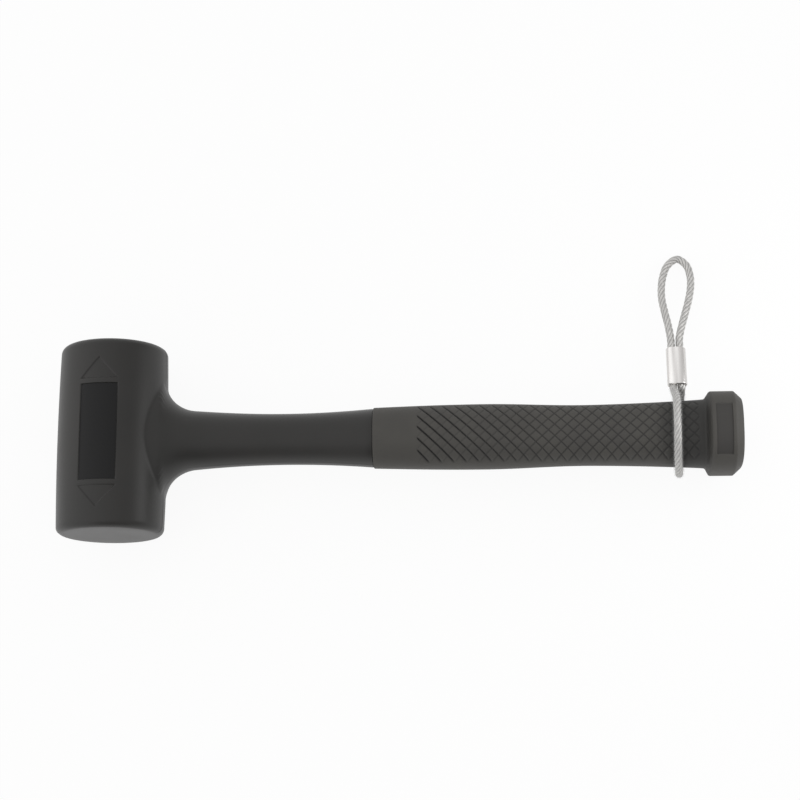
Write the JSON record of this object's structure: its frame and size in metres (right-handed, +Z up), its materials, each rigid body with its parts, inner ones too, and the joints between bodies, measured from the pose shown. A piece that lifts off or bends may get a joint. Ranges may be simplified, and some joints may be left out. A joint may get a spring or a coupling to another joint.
{
  "type": "dead blow hammer",
  "caption": "Dead blow hammer with a moulded urethane head, shot-filled steel canister, knurled oval grip and a captive wire-rope tether with an eye.",
  "frame": {"origin": "on the table, under the middle of the hammer's box without its tether", "axes": "+X along the handle to the butt, which lies a little lower than the head as the hammer rests; +Y along the head; +Z up from the table"},
  "size_m": [0.323, 0.1388, 0.0518],
  "materials": {
    "urethane": "satin, cast, charcoal",
    "grip_rubber": "matt, diamond knurl, dark grey",
    "rod_steel": "bright drawn bar",
    "canister_steel": "plain tube and pressed discs",
    "shot_steel": "plain balls",
    "rope_steel": "bright stranded wire",
    "ferrule_aluminium": "swaged, bright",
    "clear_sleeve": "clear vinyl tube"
  },
  "bodies": {
    "hammer": {"head_casing": "urethane", "grip": "grip_rubber", "handle_rod": "rod_steel", "canister_tube": "canister_steel", "canister_cap_upper": "canister_steel", "canister_cap_lower": "canister_steel"},
    "shot": {"steel_shot": "shot_steel"},
    "tether": {"tether_rope": "rope_steel", "ferrule": "ferrule_aluminium", "loop_sleeve": "clear_sleeve"}
  },
  "joints": [
    {"name": "shot_slide", "type": "slide", "parent": "hammer", "child": "shot", "axis": [0, 1, 0], "range_m": [-0.009, 0.009]},
    {"name": "tether_turn", "type": "hinge", "parent": "hammer", "child": "tether", "pos_m": [0.13304, 0, 0.0216], "axis": [0.9999, 0, -0.0164], "continuous": true}
  ]
}
